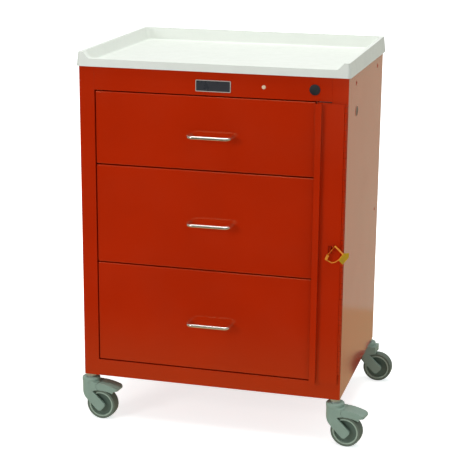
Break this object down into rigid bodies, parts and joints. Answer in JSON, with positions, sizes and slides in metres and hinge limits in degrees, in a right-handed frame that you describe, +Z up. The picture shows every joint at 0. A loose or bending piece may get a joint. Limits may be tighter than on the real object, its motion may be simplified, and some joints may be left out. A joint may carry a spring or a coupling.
{
  "type": "crash cart",
  "caption": "Hospital crash cart: steel cabinet on swivel casters with sliding drawers, a hinged lock bar held by a breakaway seal, and a recessed tray top.",
  "frame": {"origin": "on the floor, under the middle of the whole cart's bounding box with the casters as in the picture", "axes": "+Z up; +Y towards the back, so the drawers open towards -Y; +X to the right of a person facing the drawers"},
  "size_m": [0.7118, 0.523, 0.9099],
  "materials": {
    "red_enamel": "gloss red enamel on folded steel sheet",
    "zinc_steel": "zinc-plated steel",
    "chrome": "bright chrome",
    "white_abs": "moulded white ABS",
    "caster_nylon": "moulded grey-green nylon",
    "hub_nylon": "moulded grey-green nylon",
    "grey_rubber": "grey non-marking rubber",
    "black_plastic": "black hole plug",
    "ivory_plastic": "pale plug",
    "dark_plate": "dark plate with bright border, blank",
    "seal_plastic": "yellow polypropylene"
  },
  "bodies": {
    "cabinet": {"cabinet_shell": "red_enamel", "front_frame": "red_enamel", "header_panel": "red_enamel", "base_pan": "red_enamel", "top_panel": "red_enamel", "slide_uprights": "zinc_steel", "side_rivets": "red_enamel", "accessory_nuts": "zinc_steel", "hole_plugs": "black_plastic", "small_plug": "ivory_plastic", "nameplate": "dark_plate", "tray_top": "white_abs", "tray_screws": "zinc_steel", "slide_outers": "zinc_steel", "lock_staple": "red_enamel", "hinge_leaf_fixed": "red_enamel", "hinge_pin": "zinc_steel", "seal_break_pin": "seal_plastic", "caster_sockets": "zinc_steel", "caster_stems": "zinc_steel"},
    "lock_bar": {"lock_bar": "red_enamel", "hinge_leaf_moving": "red_enamel"},
    "seal": {"seal_body": "seal_plastic"},
    "drawer_bottom": {"drawer_front_bottom": "red_enamel", "drawer_box_bottom": "red_enamel", "handle_bottom": "chrome", "handle_screws_bottom": "zinc_steel", "slide_inner_bottom": "zinc_steel"},
    "slide_bottom": {"slide_middle_bottom": "zinc_steel"},
    "drawer_middle": {"drawer_front_middle": "red_enamel", "drawer_box_middle": "red_enamel", "handle_middle": "chrome", "handle_screws_middle": "zinc_steel", "slide_inner_middle": "zinc_steel"},
    "slide_middle": {"slide_middle_middle": "zinc_steel"},
    "drawer_top": {"drawer_front_top": "red_enamel", "drawer_box_top": "red_enamel", "handle_top": "chrome", "handle_screws_top": "zinc_steel", "slide_inner_top": "zinc_steel"},
    "slide_top": {"slide_middle_top": "zinc_steel"},
    "caster_fl": {"caster_fork_fl": "caster_nylon", "wheel_axle_fl": "zinc_steel"},
    "wheel_fl": {"wheel_hub_fl": "hub_nylon", "wheel_tyre_fl": "grey_rubber"},
    "caster_fr": {"caster_fork_fr": "caster_nylon", "wheel_axle_fr": "zinc_steel"},
    "wheel_fr": {"wheel_hub_fr": "hub_nylon", "wheel_tyre_fr": "grey_rubber"},
    "caster_bl": {"caster_fork_bl": "caster_nylon", "wheel_axle_bl": "zinc_steel"},
    "wheel_bl": {"wheel_hub_bl": "hub_nylon", "wheel_tyre_bl": "grey_rubber"},
    "caster_br": {"caster_fork_br": "caster_nylon", "wheel_axle_br": "zinc_steel"},
    "wheel_br": {"wheel_hub_br": "hub_nylon", "wheel_tyre_br": "grey_rubber"},
    "pedal_fl": {"brake_pedal_fl": "caster_nylon"},
    "pedal_fr": {"brake_pedal_fr": "caster_nylon"}
  },
  "joints": [
    {"name": "drawer_bottom_slide", "type": "slide", "parent": "cabinet", "child": "drawer_bottom", "axis": [0, -1, 0], "range_m": [0, 0.4]},
    {"name": "drawer_middle_slide", "type": "slide", "parent": "cabinet", "child": "drawer_middle", "axis": [0, -1, 0], "range_m": [0, 0.4]},
    {"name": "drawer_top_slide", "type": "slide", "parent": "cabinet", "child": "drawer_top", "axis": [0, -1, 0], "range_m": [0, 0.4]},
    {"name": "slide_bottom_extend", "type": "slide", "parent": "cabinet", "child": "slide_bottom", "axis": [0, -1, 0], "range_m": [0, 0.2]},
    {"name": "slide_middle_extend", "type": "slide", "parent": "cabinet", "child": "slide_middle", "axis": [0, -1, 0], "range_m": [0, 0.2]},
    {"name": "slide_top_extend", "type": "slide", "parent": "cabinet", "child": "slide_top", "axis": [0, -1, 0], "range_m": [0, 0.2]},
    {"name": "lock_bar_hinge", "type": "hinge", "parent": "cabinet", "child": "lock_bar", "pos_m": [0.2851, -0.2281, 0.483], "axis": [0, 0, 1], "range_deg": [0, 115]},
    {"name": "seal_swing", "type": "hinge", "parent": "lock_bar", "child": "seal", "pos_m": [0.26585, -0.2367, 0.48374], "axis": [-1, 0, 0], "range_deg": [0, 60]},
    {"name": "caster_fl_swivel", "type": "hinge", "parent": "cabinet", "child": "caster_fl", "pos_m": [-0.3339, -0.2125, 0.1], "axis": [0, 0, 1], "continuous": true},
    {"name": "wheel_fl_spin", "type": "hinge", "parent": "caster_fl", "child": "wheel_fl", "pos_m": [-0.30372, -0.21514, 0.0375], "axis": [0.0872, 0.9962, 0], "continuous": true},
    {"name": "caster_fr_swivel", "type": "hinge", "parent": "cabinet", "child": "caster_fr", "pos_m": [0.2771, -0.2125, 0.1], "axis": [0, 0, 1], "continuous": true},
    {"name": "wheel_fr_spin", "type": "hinge", "parent": "caster_fr", "child": "wheel_fr", "pos_m": [0.30703, -0.21724, 0.0375], "axis": [0.1564, 0.9877, 0], "continuous": true},
    {"name": "caster_bl_swivel", "type": "hinge", "parent": "cabinet", "child": "caster_bl", "pos_m": [-0.3339, 0.2355, 0.1], "axis": [0, 0, 1], "continuous": true},
    {"name": "wheel_bl_spin", "type": "hinge", "parent": "caster_bl", "child": "wheel_bl", "pos_m": [-0.30372, 0.23286, 0.0375], "axis": [0.0872, 0.9962, 0], "continuous": true},
    {"name": "caster_br_swivel", "type": "hinge", "parent": "cabinet", "child": "caster_br", "pos_m": [0.2771, 0.2355, 0.1], "axis": [0, 0, 1], "continuous": true},
    {"name": "wheel_br_spin", "type": "hinge", "parent": "caster_br", "child": "wheel_br", "pos_m": [0.30733, 0.23339, 0.0375], "axis": [0.0698, 0.9976, 0], "continuous": true},
    {"name": "brake_fl_press", "type": "hinge", "parent": "caster_fl", "child": "pedal_fl", "pos_m": [-0.30401, -0.21512, 0.085], "axis": [0.0872, 0.9962, 0], "range_deg": [0, 8]},
    {"name": "brake_fr_press", "type": "hinge", "parent": "caster_fr", "child": "pedal_fr", "pos_m": [0.30673, -0.21719, 0.085], "axis": [0.1564, 0.9877, 0], "range_deg": [0, 8]}
  ],
  "couplings": [
    {"joint": "slide_bottom_extend", "follows": "drawer_bottom_slide", "ratio": 0.5},
    {"joint": "slide_middle_extend", "follows": "drawer_middle_slide", "ratio": 0.5},
    {"joint": "slide_top_extend", "follows": "drawer_top_slide", "ratio": 0.5}
  ]
}
